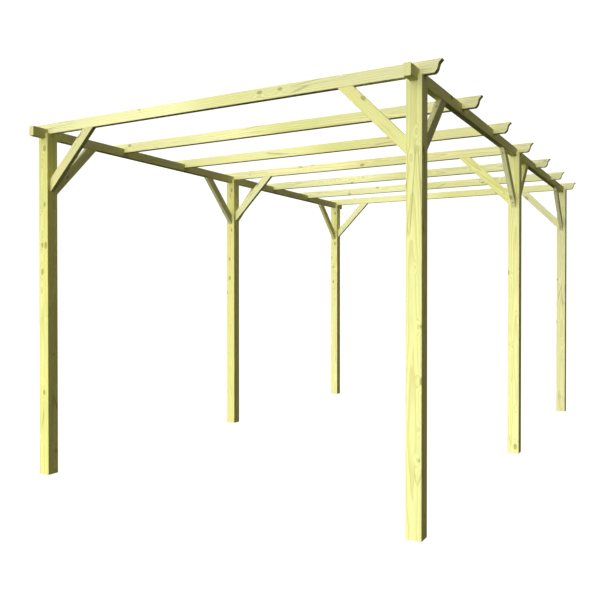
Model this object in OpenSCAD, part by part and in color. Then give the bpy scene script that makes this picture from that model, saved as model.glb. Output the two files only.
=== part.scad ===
// Garden pergola: two rows of posts carry side beams, and notched rafters lie across the beams.
// Millimetres, +Z up. The origin is on the ground at the centre of the plan, and the front is at -Y.

/* [Plan] */
// Distance between the two rows of posts, centre to centre
row_span = 2390; // [1500:10:3600]
// Distance between neighbouring posts of a row, centre to centre
bay = 2000; // [1200:10:2600]

/* [Posts] */
// Side of the square posts
post_w = 77; // [60:1:120]
// Height of the slot's floor, where a beam sits in a post
seat_z = 2065; // [1700:5:2600]

/* [Beams] */
// Thickness of the side beams
beam_t = 36; // [24:1:45]
// Height of the side beams
beam_h = 58; // [50:1:120]
// Reach of a beam past the centres of the end posts
beam_reach = 126; // [80:1:300]

/* [Rafters] */
// Thickness of the rafters
rafter_t = 34; // [28:1:60]
// Height of the rafters
rafter_h = 61; // [50:1:120]
// Depth of the notches that drop over the beams
notch_d = 29; // [10:1:35]
// Reach of a rafter's tail past the outer face of its beam
tail_reach = 104; // [75:1:300]
// Length that the ogee cut takes off the underside of a tail
tail_cut = 37; // [20:1:60]
// Height of the blunt tip that the ogee cut leaves
tail_nib = 4; // [3:1:15]
// Rise of the ogee's round and hollow from a straight saw cut
ogee_rise = 4; // [1:0.5:6]

/* [Braces] */
// Thickness of the knee braces
brace_t = 30; // [20:1:45]
// Width of the knee braces
brace_w = 58; // [40:1:90]
// Distance from the corner to the far edge of a brace, along post and beam
brace_leg = 355; // [250:5:550]

/* [Finish] */
// Radius of the eased edges along each timber
arris_r = 3; // [1:0.5:6]
// Clearance at each side of a beam in its slots and notches
fit_gap = 0.5; // [0.2:0.1:1.5]

/* [Hidden] */
// Signs of the left and right rows, of the front and rear ends, and of the middle line
LEFT = -1;
RIGHT = 1;
FRONT = -1;
MIDDLE = 0;
REAR = 1;
// Rafter spaces in each bay, so that a rafter stands over every post
spaces_per_bay = 3;
rafter_pitch = bay / spaces_per_bay;
row_x = row_span / 2;
// The rafters' undersides lie on the ears of the posts, at the depth of their notches below the beams' tops
rafter_z = seat_z + beam_h - notch_d;
beam_len = 2 * (bay + beam_reach);
rafter_len = row_span + beam_t + 2 * tail_reach;
// Saw and chisel cuts run this far past the wood
cut_over = 10;
ARC_FN = 64;
OGEE_STEPS = 24;
POST_COLOR = "#dcd89a";
BEAM_COLOR = "#d3cd90";
RAFTER_COLOR = "#e2dda2";
BRACE_COLOR = "#d8d294";

// Planed section with eased edges
module section(w, h) {
    square([w - 2 * arris_r, h], center = true);
    square([w, h - 2 * arris_r], center = true);
    for (sx = [-1, 1], sy = [-1, 1])
        translate([sx * (w / 2 - arris_r), sy * (h / 2 - arris_r)])
            circle(r = arris_r, $fn = ARC_FN);
}

// Wood that the ogee takes off a tail: x runs inwards from the tip and y up from the underside.
// The ogee is one turn of a sine wave laid along a straight saw cut.
module tail_waste() {
    low = [tail_cut, 0];
    high = [0, rafter_h - tail_nib];
    along = high - low;
    outward = [-along[1], along[0]] / norm(along);
    ogee = [
        for (i = [0:OGEE_STEPS])
            low + along * i / OGEE_STEPS + outward * ogee_rise * sin(360 * i / OGEE_STEPS)
    ];
    polygon(concat(ogee, [[-cut_over, high[1]], [-cut_over, -cut_over], [tail_cut, -cut_over]]));
}

// Post with a slot in its top that holds the beam between two ears
module post(side, end) {
    slot_w = beam_t + 2 * fit_gap;
    color(POST_COLOR)
        translate([side * row_x, end * bay, 0])
            difference() {
                linear_extrude(height = rafter_z)
                    section(post_w, post_w);
                translate([-slot_w / 2, -post_w / 2 - cut_over, seat_z])
                    cube([slot_w, post_w + 2 * cut_over, rafter_z - seat_z + cut_over]);
            }
}

// Beam that lies along one row, seated in the slots of its posts
module beam(side) {
    color(BEAM_COLOR)
        translate([side * row_x, beam_len / 2, seat_z + beam_h / 2])
            rotate([90, 0, 0])
                linear_extrude(height = beam_len)
                    section(beam_t, beam_h);
}

// Rafter across both beams, counted in steps from the middle of the plan
module rafter(step) {
    notch_w = beam_t + 2 * fit_gap;
    color(RAFTER_COLOR)
        translate([0, step * rafter_pitch, rafter_z])
            difference() {
                translate([-rafter_len / 2, 0, rafter_h / 2])
                    rotate([90, 0, 90])
                        linear_extrude(height = rafter_len)
                            section(rafter_t, rafter_h);
                for (side = [LEFT, RIGHT])
                    translate([side * row_x - notch_w / 2, -rafter_t / 2 - cut_over, -cut_over])
                        cube([notch_w, rafter_t + 2 * cut_over, notch_d + cut_over]);
                for (side = [0, 1])
                    mirror([side, 0, 0])
                        translate([-rafter_len / 2, rafter_t / 2 + cut_over, 0])
                            rotate([90, 0, 0])
                                linear_extrude(height = rafter_t + 2 * cut_over)
                                    tail_waste();
            }
}

// Knee brace in its own plane: x runs out from the post's face, and z = 0 is the underside that it holds up
module knee_brace() {
    bar_len = 2 * brace_leg;
    intersection() {
        translate([brace_leg / 2, 0, -brace_leg / 2])
            rotate([0, 45, 0])
                translate([-brace_w / 2, 0, -bar_len / 2])
                    linear_extrude(height = bar_len)
                        section(brace_w, brace_t);
        translate([0, -brace_t / 2 - cut_over, -brace_leg - cut_over])
            cube([brace_leg + cut_over, brace_t + 2 * cut_over, brace_leg + cut_over]);
    }
}

// Brace from a post's inner face to the rafter above it
module rafter_brace(side, end) {
    color(BRACE_COLOR)
        translate([side * (row_x - post_w / 2), end * bay, rafter_z])
            rotate([0, 0, side == RIGHT ? 180 : 0])
                knee_brace();
}

// Brace from a post's front or rear face to the beam above it
module beam_brace(side, end, towards) {
    color(BRACE_COLOR)
        translate([side * row_x, end * bay + towards * post_w / 2, seat_z])
            rotate([0, 0, towards * 90])
                knee_brace();
}

post(LEFT, FRONT);  // front_left_post
post(LEFT, MIDDLE);  // middle_left_post
post(LEFT, REAR);  // rear_left_post
post(RIGHT, FRONT);  // front_right_post
post(RIGHT, MIDDLE);  // middle_right_post
post(RIGHT, REAR);  // rear_right_post
beam(LEFT);  // left_beam
beam(RIGHT);  // right_beam
rafter(-3);  // front_rafter
rafter(-2);  // second_rafter
rafter(-1);  // third_rafter
rafter(0);  // middle_rafter
rafter(1);  // fifth_rafter
rafter(2);  // sixth_rafter
rafter(3);  // rear_rafter
rafter_brace(LEFT, FRONT);  // front_left_rafter_brace
rafter_brace(LEFT, MIDDLE);  // middle_left_rafter_brace
rafter_brace(LEFT, REAR);  // rear_left_rafter_brace
rafter_brace(RIGHT, FRONT);  // front_right_rafter_brace
rafter_brace(RIGHT, MIDDLE);  // middle_right_rafter_brace
rafter_brace(RIGHT, REAR);  // rear_right_rafter_brace
beam_brace(LEFT, FRONT, REAR);  // front_left_beam_brace
beam_brace(LEFT, MIDDLE, FRONT);  // middle_left_fore_beam_brace
beam_brace(LEFT, MIDDLE, REAR);  // middle_left_aft_beam_brace
beam_brace(LEFT, REAR, FRONT);  // rear_left_beam_brace
beam_brace(RIGHT, FRONT, REAR);  // front_right_beam_brace
beam_brace(RIGHT, MIDDLE, FRONT);  // middle_right_fore_beam_brace
beam_brace(RIGHT, MIDDLE, REAR);  // middle_right_aft_beam_brace
beam_brace(RIGHT, REAR, FRONT);  // rear_right_beam_brace
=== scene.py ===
import math

import bpy
import numpy as np
from mathutils import Matrix, Vector


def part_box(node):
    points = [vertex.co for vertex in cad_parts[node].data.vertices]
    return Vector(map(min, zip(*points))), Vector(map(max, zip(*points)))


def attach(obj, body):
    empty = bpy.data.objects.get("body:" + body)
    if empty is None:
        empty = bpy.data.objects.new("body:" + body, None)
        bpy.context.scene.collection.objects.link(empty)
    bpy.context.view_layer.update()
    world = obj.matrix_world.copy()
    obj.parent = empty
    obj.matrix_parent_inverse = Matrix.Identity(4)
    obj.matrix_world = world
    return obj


# Garden pergola. The timbers keep the frame's own shapes, and each gets planed, pressure-treated pine
# whose growth rings, knots and drying checks run along it. Screw heads are added where timbers are fixed.
# Metres, +Z up. The front is at -Y and the left at -X.

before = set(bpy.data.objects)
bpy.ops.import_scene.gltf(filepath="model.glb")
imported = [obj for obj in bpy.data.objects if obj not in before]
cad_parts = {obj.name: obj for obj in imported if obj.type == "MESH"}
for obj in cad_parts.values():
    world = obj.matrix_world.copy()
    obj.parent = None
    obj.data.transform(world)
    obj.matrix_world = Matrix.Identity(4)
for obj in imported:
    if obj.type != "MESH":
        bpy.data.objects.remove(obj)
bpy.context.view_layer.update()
MM = 0.001
rng = np.random.default_rng(seed=29)


# Helpers

def middle(name):
    """Centre of a node's box."""
    low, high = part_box(name)
    return (low + high) / 2


def linear(hex_colour, alpha=1.0):
    """Linear colour of an sRGB hex value, with its alpha."""
    srgb = np.array([int(hex_colour[i:i + 2], 16) for i in (1, 3, 5)]) / 255
    return (*np.where(srgb <= 0.04045, srgb / 12.92, ((srgb + 0.055) / 1.055) ** 2.4), alpha)


def add(tree, kind, feeds=None, stops=(), **settings):
    """Adds a node, sets its properties, feeds its inputs with values or nodes, and fills its colour ramp.

    Inputs go by name, or by number where several share a name. Those of MapRange are 0 for the value,
    1 and 2 for the ends of the band that it reads, and 3 and 4 for the ends of the band that it gives.
    """
    made = tree.nodes.new("ShaderNode" + kind)
    for name, value in settings.items():
        setattr(made, name, value)
    for socket, feed in (feeds or {}).items():
        if isinstance(feed, bpy.types.Node):
            feed = feed.outputs[0]
        if isinstance(feed, bpy.types.NodeSocket):
            tree.links.new(feed, made.inputs[socket])
        else:
            made.inputs[socket].default_value = feed
    for number, (spot, colour) in enumerate(stops):
        ramp = made.color_ramp.elements
        stop = ramp[number] if number < len(ramp) else ramp.new(spot)
        stop.position = spot
        stop.color = colour
    return made


def blank_material(name):
    """New material and its empty tree."""
    material = bpy.data.materials.new(name)
    material.use_nodes = True
    material.node_tree.nodes.clear()
    return material, material.node_tree


def add_piece(name, points, faces, material):
    """New object at the origin, from arrays of points and lists of faces."""
    mesh = bpy.data.meshes.new(name)
    mesh.from_pydata(points.tolist(), [], faces)
    mesh.materials.append(material)
    piece = bpy.data.objects.new(name, mesh)
    bpy.context.collection.objects.link(piece)
    return piece


# Planed, pressure-treated pine: sawn from the log, planed smooth, and soaked so that the pale wood turns
# lemon green. The eye sees ring lines that close into pointed loops, soft olive knots that the rings flow
# round, fine drying checks along the grain, and paler end grain at the saw cuts.

EARLY_WOOD = linear("#e4e497")
LATE_WOOD = linear("#ccc676")
HEART_WOOD = linear("#e8dd88")
GREEN_WOOD = linear("#d3dc93")
END_GRAIN = linear("#ecebb8")
CHECK_DARK = linear("#8a8148")
# Colours from the middle of a knot, over its dark edge, to clear wood
KNOT_STOPS = (
    (0.0, linear("#a8a45d", 0.85)), (0.4, linear("#98914d", 0.85)),
    (0.55, linear("#b8b36a", 0.6)), (1.0, linear("#cfca80", 0.0)))
# Most that each layer of colour covers of the wood under it
HEART_MOST = 0.6
END_MOST = 0.5
RING_MOST = 0.8
GREEN_MOST = 0.6
STREAK_MOST = 0.55
CHECK_MOST = 0.55

# Log and rings

# Real rings are 3 to 5 mm apart: drawn at 7 mm, so that they still show from across a garden
RING = 7 * MM
# Wide and narrow rings follow each other within about this distance
SEASONS = 17 * MM
# Late wood darkens from the first of these shares of a ring to the second, and fades after the third
LATE_FROM = 0.3
LATE_FULL = 0.9
LATE_FADE = 0.92
# A log swells by this much for each metre of its length, which closes the ring lines into loops
TAPER = 6 * MM
# How far the pith wanders from a straight line, and over what length
WANDER = 32 * MM
WANDER_LONG = 1100 * MM
# How far the rings ripple, and how long and wide one ripple is
RIPPLE = 6 * MM
RIPPLE_LONG = 200 * MM
RIPPLE_WIDE = 25 * MM
# Middle of a noise's values, taken off so that it pulls both ways
NOISE_MIDDLE = (0.5, 0.5, 0.5)
# Heartwood ends between these distances from the pith
HEART_FROM = 50 * MM
HEART_TO = 28 * MM
# Least and most distance of a timber's middle from the pith: inside a post, and beside the lighter timbers
POST_PITH = (5 * MM, 25 * MM)
SIDE_PITH = (35 * MM, 90 * MM)
# Each timber shows its own stretch of the endless log, up to this far to either side
LOG_STRETCH = 40.0

# Knots

# Branches leave the log about 150 mm apart along it and 85 mm apart round it
KNOT_ALONG = 150 * MM
KNOT_ROUND = 85 * MM
# Least and largest radius of a knot as a share of that spacing: below 0 there is none
KNOT_RADIUS = (-0.06, 0.15)
# A knot's colours run between these distances from its edge, in shares of that spacing: below 0 is inside
KNOT_BAND = (-0.05, 0.07)
# The rings swell by this much round a knot, from this share of the spacing inwards
KNOT_SWELL = 11 * MM
SWELL_FROM = 0.35
# Knots that stand out on the front of each left post, and on the front rafter: place up the post or right of
# the rafter's middle, distance off the middle line of the face, and radius
POST_KNOTS = np.array([(1247, -8, 9), (1411, -8, 7), (1660, 12, 7), (2003, 13, 9)]) * MM
RAFTER_KNOTS = np.array([(363, 9, 7), (484, 10, 6)]) * MM

# Fibres, treatment, checks and end grain

# Fibres are finer than 1 mm: drawn 5 mm wide and 120 mm long, so that they show
FIBRE_WIDE = 5 * MM
FIBRE_LONG = 120 * MM
# The treatment takes up unevenly, in clouds of about this size
CLOUD_LONG = 330 * MM
CLOUD_WIDE = 45 * MM
# Drying checks lie 45 mm apart and run for 1 m. Real ones are hairlines: these fade out 1 mm to either side,
# so that they show
CHECK_APART = 45 * MM
CHECK_LONG = 1000 * MM
CHECK_WIDE = 1 * MM
# Share of a check's width that is fully dark
CHECK_CORE = 0.4
# They open and close again along the timber about every 450 mm
CHECK_STRETCH = 450 * MM
# Values of the noise between which streaks of fibre, clouds and open checks come on
STREAK_BAND = (0.52, 0.75)
GREEN_BAND = (0.42, 0.72)
CHECK_BAND = (0.54, 0.66)
# End grain comes on as the surface turns to face along the timber, where 1 is a square end
END_BAND = (0.25, 0.8)

# Relief and finish

# Height of the late wood and depth of a check, against the height of the fibres, and the size of it all
LATE_RIDGE = 0.35
CHECK_DEPTH = 2.0
RELIEF_HEIGHT = 0.5 * MM
RELIEF_STRENGTH = 0.6
# Planing leaves the hard late wood smoother
EARLY_ROUGH = 0.72
LATE_ROUGH = 0.56

# Tones, with painted light and painted shade

# Least and most saturation and brightness of a timber's colours
SATURATION = (0.97, 1.1)
BRIGHTNESS = (0.95, 1.03)
# Shares of a timber's own saturation and brightness: for a rafter's middle and its right tail, for painted
# light that makes wood paler, for duller wood, and for painted shade that makes wood darker
RAFTER_TONE = (0.94, 1.0)
TAIL_TONE = (0.75, 1.03)
PAINTED_LIGHT = (0.8, 1.22)
HALF_PAINTED_LIGHT = (0.9, 1.08)
DULLED = (0.78, 0.95)
HALF_DULLED = (0.89, 0.97)
PAINTED_SHADE = (0.84, 0.78)
# Timbers that stand out from the rest: painted light makes some paler, painted shade makes others darker, and
# some are duller
TONES_AND_PAINTED_LIGHT = {
    "middle_left_rafter_brace": PAINTED_LIGHT, "rear_left_rafter_brace": PAINTED_LIGHT, "middle_right_fore_beam_brace": PAINTED_LIGHT,
    "middle_right_post": HALF_PAINTED_LIGHT, "front_left_rafter_brace": HALF_DULLED, "rear_right_post": DULLED,
    "rear_right_rafter_brace": DULLED, "rear_right_beam_brace": DULLED, "left_beam": PAINTED_SHADE,
    "front_left_beam_brace": PAINTED_SHADE, "middle_left_fore_beam_brace": PAINTED_SHADE, "front_right_beam_brace": PAINTED_SHADE}
# Places along x: a rafter gets painted light leftwards from the first to the second, and turns duller
# rightwards from the first to its tail
RAFTER_SHIFT_FROM = 150 * MM
PAINTED_LIGHT_TO = -250 * MM


def grain_direction(name):
    """Direction of the grain: along the length of each kind of timber."""
    if name.endswith("_rafter_brace"):
        return Vector((1 if "_left_" in name else -1, 0, 1))
    if name.endswith("_beam_brace"):
        return Vector((0, -1 if "_fore_" in name or name.startswith("rear_") else 1, 1))
    if name.endswith("_post"):
        return Vector((0, 0, 1))
    return Vector((0, 1, 0)) if name.endswith("_beam") else Vector((1, 0, 0))


def log_axes(name, along):
    """Change from the frame's axes to the timber's own: x along the grain, y and z from the log's pith."""
    across = Vector((1, 0, 0)) if along.y else Vector((0, 1, 0))
    turn = Matrix((along, across, along.cross(across)))
    off_pith = rng.uniform(*(POST_PITH if name.endswith("_post") else SIDE_PITH))
    bearing = rng.uniform(0, 2 * math.pi)
    stretch = rng.uniform(-LOG_STRETCH, LOG_STRETCH)
    pith = Vector((stretch, off_pith * math.cos(bearing), off_pith * math.sin(bearing)))
    return Matrix.Translation(pith - turn @ middle(name)) @ turn.to_4x4()


def front_knots(name):
    """Place and radius of the knots that stand out on a timber's front face."""
    face = middle(name)
    face.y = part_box(name)[0].y
    if name.endswith("_left_post"):
        return [(Vector((face.x + off, face.y, up)), radius) for up, off, radius in POST_KNOTS]
    if name == "front_rafter":
        return [(Vector((right, face.y, face.z + off)), radius) for right, off, radius in RAFTER_KNOTS]
    return []


def knot_gap(tree, wood, spots):
    """Distance to the nearest knot's edge, in knot spacings: scattered knots, and the spots given."""
    spread = Vector((1 / KNOT_ALONG, 1 / KNOT_ROUND, 1 / KNOT_ROUND))
    cells = add(tree, "Mapping", {"Vector": wood, "Scale": spread})
    knots = add(tree, "TexVoronoi", {"Vector": cells, "Scale": 1.0})
    chance = add(tree, "SeparateColor", {0: knots.outputs["Color"]})
    radius = add(tree, "MapRange", {0: chance, 3: KNOT_RADIUS[0], 4: KNOT_RADIUS[1]})
    gap = add(tree, "Math", {0: knots.outputs["Distance"], 1: radius}, operation="SUBTRACT")
    for spot, size in spots:
        apart = add(tree, "VectorMath", {0: cells, 1: spot * spread}, operation="DISTANCE").outputs["Value"]
        edge = add(tree, "Math", {0: apart, 1: size / KNOT_ROUND}, operation="SUBTRACT")
        gap = add(tree, "Math", {0: gap, 1: edge}, operation="MINIMUM")
    return gap


def pith_distance(tree, wood, x_along):
    """Distance from a pith that wanders along the log, with ripples."""
    bends = {"W": x_along, "Scale": 1 / WANDER_LONG, "Detail": 1.0}
    wander = add(tree, "TexNoise", bends, noise_dimensions="1D")
    spread = (1 / RIPPLE_LONG, 1 / RIPPLE_WIDE, 1 / RIPPLE_WIDE)
    ripples = add(tree, "Mapping", {"Vector": wood, "Scale": spread})
    ripple = add(tree, "TexNoise", {"Vector": ripples, "Scale": 1.0, "Detail": 2.0})
    bowed = wood
    for noise, most in ((wander, WANDER), (ripple, RIPPLE)):
        pull = add(tree, "VectorMath", {0: noise.outputs["Color"], 1: NOISE_MIDDLE}, operation="SUBTRACT")
        bowed = add(tree, "VectorMath", {0: pull, 1: (0, most, most), 2: bowed}, operation="MULTIPLY_ADD")
    section = add(tree, "VectorMath", {0: bowed, 1: (0, 1, 1)}, operation="MULTIPLY")
    return add(tree, "VectorMath", {0: section}, operation="LENGTH").outputs["Value"]


def late_wood(tree, x_along, radius, gap):
    """Dark late wood of each ring, 0 to 1: rings follow the radius, the taper and the knots' swelling."""
    near = {0: gap, 1: SWELL_FROM, 2: 0.0, 4: KNOT_SWELL}
    swell = add(tree, "MapRange", near, interpolation_type="SMOOTHERSTEP")
    swollen = add(tree, "Math", {0: radius, 1: swell}, operation="SUBTRACT")
    tapered = add(tree, "Math", {0: x_along, 1: TAPER, 2: swollen}, operation="MULTIPLY_ADD")
    years = {"W": tapered, "Scale": 1 / SEASONS, "Detail": 1.0}
    season = add(tree, "TexNoise", years, noise_dimensions="1D")
    rings = add(tree, "Math", {0: tapered, 1: 1 / RING, 2: season}, operation="MULTIPLY_ADD")
    year = add(tree, "Math", {0: rings}, operation="FRACT")
    summer = add(tree, "MapRange", {0: year, 1: LATE_FROM, 2: LATE_FULL}, interpolation_type="SMOOTHSTEP")
    winter = add(tree, "MapRange", {0: year, 1: 1.0, 2: LATE_FADE}, interpolation_type="SMOOTHSTEP")
    return add(tree, "Math", {0: summer, 1: winter}, operation="MULTIPLY")


def fibre_noise(tree, wood):
    """Noise in narrow strands along the grain, 0 to 1."""
    spread = (1 / FIBRE_LONG, 1 / FIBRE_WIDE, 1 / FIBRE_WIDE)
    strands = add(tree, "Mapping", {"Vector": wood, "Scale": spread})
    return add(tree, "TexNoise", {"Vector": strands, "Scale": 1.0, "Detail": 3.0, "Roughness": 0.6})


def treatment_green(tree, wood):
    """Amount of the treatment's green, in clouds drawn out along the grain."""
    spread = (1 / CLOUD_LONG, 1 / CLOUD_WIDE, 1 / CLOUD_WIDE)
    clouds = add(tree, "Mapping", {"Vector": wood, "Scale": spread})
    cloud = add(tree, "TexNoise", {"Vector": clouds, "Scale": 1.0, "Detail": 2.0})
    return add(tree, "MapRange", {0: cloud, 1: GREEN_BAND[0], 2: GREEN_BAND[1], 4: GREEN_MOST})


def drying_checks(tree, wood, x_along):
    """Amount of dark hairlines along the grain: edges of long cells, open only on some stretches."""
    spread = (1 / CHECK_LONG, 1 / CHECK_APART, 1 / CHECK_APART)
    cells = add(tree, "Mapping", {"Vector": wood, "Scale": spread})
    edge = add(tree, "TexVoronoi", {"Vector": cells, "Scale": 1.0}, feature="DISTANCE_TO_EDGE")
    width = CHECK_WIDE / CHECK_APART
    line = add(tree, "MapRange", {0: edge, 1: width, 2: CHECK_CORE * width})
    stretch = add(tree, "TexNoise", {"W": x_along, "Scale": 1 / CHECK_STRETCH}, noise_dimensions="1D")
    opened = add(tree, "MapRange", {0: stretch, 1: CHECK_BAND[0], 2: CHECK_BAND[1], 4: CHECK_MOST})
    return add(tree, "Math", {0: line, 1: opened}, operation="MULTIPLY")


def facing_end(tree, along):
    """How squarely the surface faces along the timber: 0 on its sides, 1 on a square end."""
    normal = add(tree, "NewGeometry").outputs["Normal"]
    facing = add(tree, "VectorMath", {0: normal, 1: along}, operation="DOT_PRODUCT").outputs["Value"]
    return add(tree, "Math", {0: facing}, operation="ABSOLUTE")


def tone_and_painted_light(tree, name, place):
    """Saturation and brightness: even, or from painted light on a rafter's left to its duller right tail."""
    own = np.array((rng.uniform(*SATURATION), rng.uniform(*BRIGHTNESS)))
    # Timbers in the table get painted light, painted shade and duller tones from it
    if not name.endswith("_rafter"):
        return own * TONES_AND_PAINTED_LIGHT.get(name, 1.0)
    to_right = add(tree, "SeparateXYZ", {0: place}).outputs["X"]
    tail_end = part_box(name)[1].x
    shades = []
    # A rafter's left end gets painted light, its middle and right tail their own tones
    for left, centre, tail in zip(own * PAINTED_LIGHT, own * RAFTER_TONE, own * TAIL_TONE):
        right = add(tree, "MapRange", {0: to_right, 1: RAFTER_SHIFT_FROM, 2: tail_end, 3: centre, 4: tail})
        halves = {0: to_right, 1: RAFTER_SHIFT_FROM, 2: PAINTED_LIGHT_TO, 3: right, 4: left}
        shades.append(add(tree, "MapRange", halves, interpolation_type="SMOOTHSTEP"))
    return shades


def treated_pine(name):
    """Pine for one timber, sawn from its own log."""
    material, tree = blank_material("planed_treated_pine_" + name)
    along = grain_direction(name).normalized()
    to_log = log_axes(name, along)
    place = add(tree, "TexCoord").outputs["Object"]
    moves = {"Vector": place, "Location": to_log.translation, "Rotation": to_log.to_euler()}
    wood = add(tree, "Mapping", moves)
    x_along = add(tree, "SeparateXYZ", {0: wood}).outputs["X"]
    gap = knot_gap(tree, wood, [(to_log @ spot, size) for spot, size in front_knots(name)])
    radius = pith_distance(tree, wood, x_along)
    late = late_wood(tree, x_along, radius, gap)
    fibre = fibre_noise(tree, wood)
    endwise = facing_end(tree, along)

    # Amount of each layer: the checks, and the planed sides' tone and painted light and shade, end at end
    # grain
    heart = add(tree, "MapRange", {0: radius, 1: HEART_FROM, 2: HEART_TO, 4: HEART_MOST})
    end_cut = add(tree, "MapRange", {0: endwise, 1: END_BAND[0], 2: END_BAND[1], 4: END_MOST})
    planed_side = add(tree, "MapRange", {0: endwise, 1: END_BAND[0], 2: END_BAND[1], 3: 1.0, 4: 0.0})
    ring = add(tree, "MapRange", {0: late, 4: RING_MOST})
    green = treatment_green(tree, wood)
    streak = add(tree, "MapRange", {0: fibre, 1: STREAK_BAND[0], 2: STREAK_BAND[1], 4: STREAK_MOST})
    into_knot = add(tree, "MapRange", {0: gap, 1: KNOT_BAND[0], 2: KNOT_BAND[1]})
    knot = add(tree, "ValToRGB", {0: into_knot}, stops=KNOT_STOPS)
    cracks = drying_checks(tree, wood, x_along)
    check = add(tree, "Math", {0: cracks, 1: endwise}, operation="SUBTRACT", use_clamp=True)

    # Colours laid over each other, from the sapwood up
    colour = EARLY_WOOD
    layers = (
        (HEART_WOOD, heart), (END_GRAIN, end_cut), (LATE_WOOD, ring), (GREEN_WOOD, green),
        (LATE_WOOD, streak), (knot.outputs["Color"], knot.outputs["Alpha"]), (CHECK_DARK, check))
    for over, amount in layers:
        colour = add(tree, "Mix", {0: amount, 6: colour, 7: over}, data_type="RGBA").outputs[2]
    # The timber's tone, which carries its painted light and painted shade
    saturation, brightness = tone_and_painted_light(tree, name, place)
    toned = add(tree, "HueSaturation", {
        "Color": colour, "Saturation": saturation, "Value": brightness, "Fac": planed_side})

    # Relief: late wood and fibres stand up from the planing, and checks are open
    ridges = add(tree, "Math", {0: late, 1: LATE_RIDGE, 2: fibre}, operation="MULTIPLY_ADD")
    opened = add(tree, "Math", {0: check, 1: -CHECK_DEPTH, 2: ridges}, operation="MULTIPLY_ADD")
    relief = add(tree, "Bump", {"Height": opened, "Strength": RELIEF_STRENGTH, "Distance": RELIEF_HEIGHT})
    rough = add(tree, "MapRange", {0: late, 3: EARLY_ROUGH, 4: LATE_ROUGH})
    planed = add(tree, "BsdfPrincipled", {
        "Base Color": toned, "Roughness": rough, "Normal": relief, "IOR": 1.5, "Specular IOR Level": 0.3})
    add(tree, "OutputMaterial", {"Surface": planed})
    return material


for name, timber in sorted(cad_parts.items()):
    timber.data.materials.clear()
    timber.data.materials.append(treated_pine(name))


# Screw heads of zinc-plated steel, passivated yellow: a smooth plating, dull and brassy, slightly clouded

# Colours at two values of the noise that clouds the plating, its least and most roughness, and a cloud's size
PLATING_STOPS = ((0.3, linear("#9c8a55")), (0.7, linear("#c9b987")))
PLATING_ROUGH = (0.3, 0.5)
PLATING_CLOUD = 2 * MM
HEAD_R = 4.5 * MM
HEAD_SIDES = 24
# From the underside to the recess: radius as a share of HEAD_R, height over the wood, depth of the lobes
HEAD_PROFILE = np.array([
    (0.90, -1.2 * MM, 0), (1.00, 0.15 * MM, 0), (0.93, 0.55 * MM, 0),
    (0.75, 0.95 * MM, 0), (0.52, 1.15 * MM, 0.16), (0.46, 0.35 * MM, 0.16)])
STAR_LOBES = 6
# A screw whose direction has more than this share along x counts as pointing along x
ALONG_X = 0.9
# Distance of a brace's screws from its tips, along the post and the timber above
BRACE_INSET = 32 * MM


def plated_steel():
    """Yellow passivated zinc, with faint clouds in the plating."""
    material, tree = blank_material("yellow_passivated_zinc_on_steel")
    place = add(tree, "TexCoord").outputs["Object"]
    cloud = add(tree, "TexNoise", {"Vector": place, "Scale": 1 / PLATING_CLOUD, "Detail": 2.0})
    colour = add(tree, "ValToRGB", {0: cloud}, stops=PLATING_STOPS)
    rough = add(tree, "MapRange", {0: cloud, 3: PLATING_ROUGH[0], 4: PLATING_ROUGH[1]})
    plating = add(tree, "BsdfPrincipled", {"Base Color": colour, "Roughness": rough, "Metallic": 1.0})
    add(tree, "OutputMaterial", {"Surface": plating})
    return material


def one_head():
    """Points and faces of a low domed head: a profile turned about z, whose recess has cosine lobes."""
    share, height, lobe = HEAD_PROFILE.T
    turn = np.arange(HEAD_SIDES)
    angle = turn * 2 * math.pi / HEAD_SIDES
    radius = HEAD_R * share[:, None] * (1 + lobe[:, None] * np.cos(STAR_LOBES * angle))
    level = np.repeat(height[:, None], HEAD_SIDES, 1)
    turned = np.stack([radius * np.cos(angle), radius * np.sin(angle), level], -1).reshape(-1, 3)
    poles = [(0, 0, height[0]), (0, 0, height[-1])]
    ahead = (turn + 1) % HEAD_SIDES
    rows = np.arange(len(share) - 1)[:, None] * HEAD_SIDES
    walls = np.stack([rows + turn, rows + ahead, rows + ahead + HEAD_SIDES, rows + turn + HEAD_SIDES], -1)
    last = len(turned) - HEAD_SIDES
    under = np.stack([ahead, turn, np.full(HEAD_SIDES, len(turned))], -1)
    floor = np.stack([last + turn, last + ahead, np.full(HEAD_SIDES, len(turned) + 1)], -1)
    return np.concatenate([turned, poles]), walls.reshape(-1, 4), np.concatenate([under, floor])


def screw_heads(name, places, outward, steel):
    """Copies of the head, each turned so that its axis points out of the wood."""
    points, walls, caps = one_head()
    outward = np.array(outward, float)
    outward /= np.linalg.norm(outward, axis=1, keepdims=True)
    # Each screw's axes: two square to its outward direction, then the direction itself
    helper = np.where(np.abs(outward[:, :1]) < ALONG_X, (1.0, 0, 0), (0, 1.0, 0))
    side = np.cross(outward, helper)
    side /= np.linalg.norm(side, axis=1, keepdims=True)
    axes = np.stack([side, np.cross(outward, side), outward], 1)
    placed = np.array(places)[:, None] + np.einsum("vk,skc->svc", points, axes)
    first = (np.arange(len(placed)) * len(points))[:, None, None]
    faces = (walls + first).reshape(-1, 4).tolist() + (caps + first).reshape(-1, 3).tolist()
    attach(add_piece(name, placed.reshape(-1, 3), faces, steel), "root")


def rafter_screws(steel):
    """One screw down through each rafter into each beam."""
    rafters = [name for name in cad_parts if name.endswith("_rafter")]
    places = [
        (middle(beam).x, middle(rafter).y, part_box(rafter)[1].z)
        for beam in ("left_beam", "right_beam") for rafter in rafters]
    screw_heads("rafter_screws", places, [(0, 0, 1)] * len(places), steel)


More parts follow.
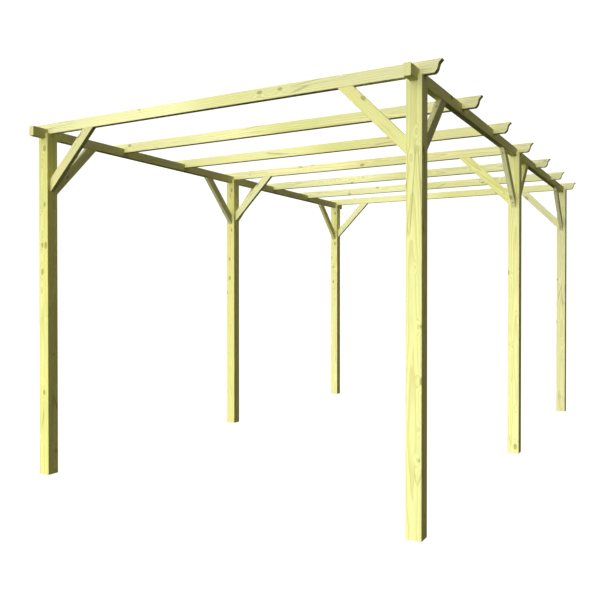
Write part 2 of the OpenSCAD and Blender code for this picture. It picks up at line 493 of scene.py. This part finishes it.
def ear_screws(steel):
    """One screw through each ear of each post into the beam between them."""
    places, outward = [], []
    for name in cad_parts:
        if not name.endswith("_post"):
            continue
        low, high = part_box(name)
        ear_z = (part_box("left_beam")[0].z + high.z) / 2
        places += [(low.x, middle(name).y, ear_z), (high.x, middle(name).y, ear_z)]
        outward += [(-1, 0, 0), (1, 0, 0)]
    screw_heads("ear_screws", places, outward, steel)


def brace_screws(steel):
    """One screw at each end of each brace, square to its open face."""
    places, outward = [], []
    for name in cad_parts:
        if not name.endswith("_brace"):
            continue
        low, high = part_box(name)
        run = grain_direction(name)
        reach = run * ((high.z - low.z) / 2 - BRACE_INSET)
        places += [middle(name) - reach, middle(name) + reach]
        outward += [(run.x, run.y, -run.z)] * 2
    screw_heads("brace_screws", places, outward, steel)


steel = plated_steel()
rafter_screws(steel)
ear_screws(steel)
brace_screws(steel)


# Studio: pale floor, low soft light from the front left, spot on the feet, soft light from behind, dim room

WHITE = linear("#ffffff")
FLOOR_PAINT = linear("#f3f3f3")
FLOOR_HALF = 60.0
# Share of the floor's look that is its own glow, which leaves shadows faint, and the strength of that glow
FLOOR_GLOW = 0.8
GLOW_STRENGTH = 1.15
BACKDROP_STRENGTH = 1.1
# The room's warm light grows with the height of its direction, -1 straight down and 1 straight up, between
# these heights, from the least strength to the most
ROOM_LIGHT = linear("#fff7dd")
ROOM_FROM = -0.15
ROOM_TO = 0.5
ROOM_LEAST = 0.015
ROOM_MOST = 0.37


def studio_floor():
    """Flat square sheet, white enough to run into the backdrop, that shows only faint shadows."""
    material, tree = blank_material("matt_white_floor_paint")
    paint = add(tree, "BsdfDiffuse", {"Color": FLOOR_PAINT})
    glow = add(tree, "Emission", {"Color": WHITE, "Strength": GLOW_STRENGTH})
    add(tree, "OutputMaterial", {"Surface": add(tree, "MixShader", {0: FLOOR_GLOW, 1: paint, 2: glow})})
    corners = np.array([(-1, -1, 0), (1, -1, 0), (1, 1, 0), (-1, 1, 0)]) * FLOOR_HALF
    sheet = add_piece("studio_floor", corners, [(0, 1, 2, 3)], material)
    sheet.visible_diffuse = False
    sheet.visible_glossy = False


def soft_sun(name, bearing, height, spread, strength):
    """Distant soft lamp: bearing from the front towards the left, height and spread are in degrees."""
    lamp = bpy.data.lights.new(name, "SUN")
    lamp.energy = strength
    lamp.angle = math.radians(spread)
    sun = bpy.data.objects.new(name, lamp)
    sun.rotation_euler = (math.radians(90 - height), 0, math.radians(-bearing))
    bpy.context.collection.objects.link(sun)


def foot_spot(name, height, distance, reach, power):
    """Far spot in front, without shadows, aimed down at the frame's foot: its light ends at its reach."""
    lamp = bpy.data.lights.new(name, "SPOT")
    lamp.energy = power
    lamp.spot_size = 2 * math.atan(reach / distance)
    lamp.spot_blend = 1.0
    lamp.use_shadow = False
    spot = bpy.data.objects.new(name, lamp)
    down = math.radians(height)
    spot.location = (0, -distance * math.cos(down), distance * math.sin(down))
    spot.rotation_euler = (math.pi / 2 - down, 0, 0)
    bpy.context.collection.objects.link(spot)


def white_room():
    """World that the camera sees as white, and that lights the object dimly and warmly, more from above."""
    room = bpy.data.worlds.new("white_room")
    bpy.context.scene.world = room
    room.use_nodes = True
    tree = room.node_tree
    tree.nodes.clear()
    upward = add(tree, "SeparateXYZ", {0: add(tree, "TexCoord").outputs["Generated"]}).outputs["Z"]
    dim = add(tree, "MapRange", {0: upward, 1: ROOM_FROM, 2: ROOM_TO, 3: ROOM_LEAST, 4: ROOM_MOST})
    glow = add(tree, "Background", {"Color": ROOM_LIGHT, "Strength": dim})
    backdrop = add(tree, "Background", {"Color": WHITE, "Strength": BACKDROP_STRENGTH})
    seen = add(tree, "LightPath").outputs["Is Camera Ray"]
    add(tree, "OutputWorld", {"Surface": add(tree, "MixShader", {0: seen, 1: glow, 2: backdrop})})


studio_floor()
soft_sun("front_key", bearing=22, height=6, spread=80, strength=2.5)
foot_spot("front_spot", height=2, distance=60, reach=3.2, power=86000)
soft_sun("rear_fill", bearing=150, height=40, spread=60, strength=2.4)
white_room()
bpy.context.scene.view_settings.view_transform = "Standard"


# Camera at the photograph's place: its turn and focal length come from a fit to the frame's edges

EYE = (2.294, -5.046, 1.112)
TURN = math.radians(29.23)
DIP = math.radians(0.513)
FOCAL_PX = 704.4
IMAGE_PX = 600
lens = bpy.data.cameras.new("photo_view")
lens.lens = FOCAL_PX / IMAGE_PX * lens.sensor_width
viewer = bpy.data.objects.new("photo_view", lens)
viewer.location = EYE
viewer.rotation_euler = (math.pi / 2 - DIP, 0, TURN)
bpy.context.collection.objects.link(viewer)
bpy.context.scene.camera = viewer
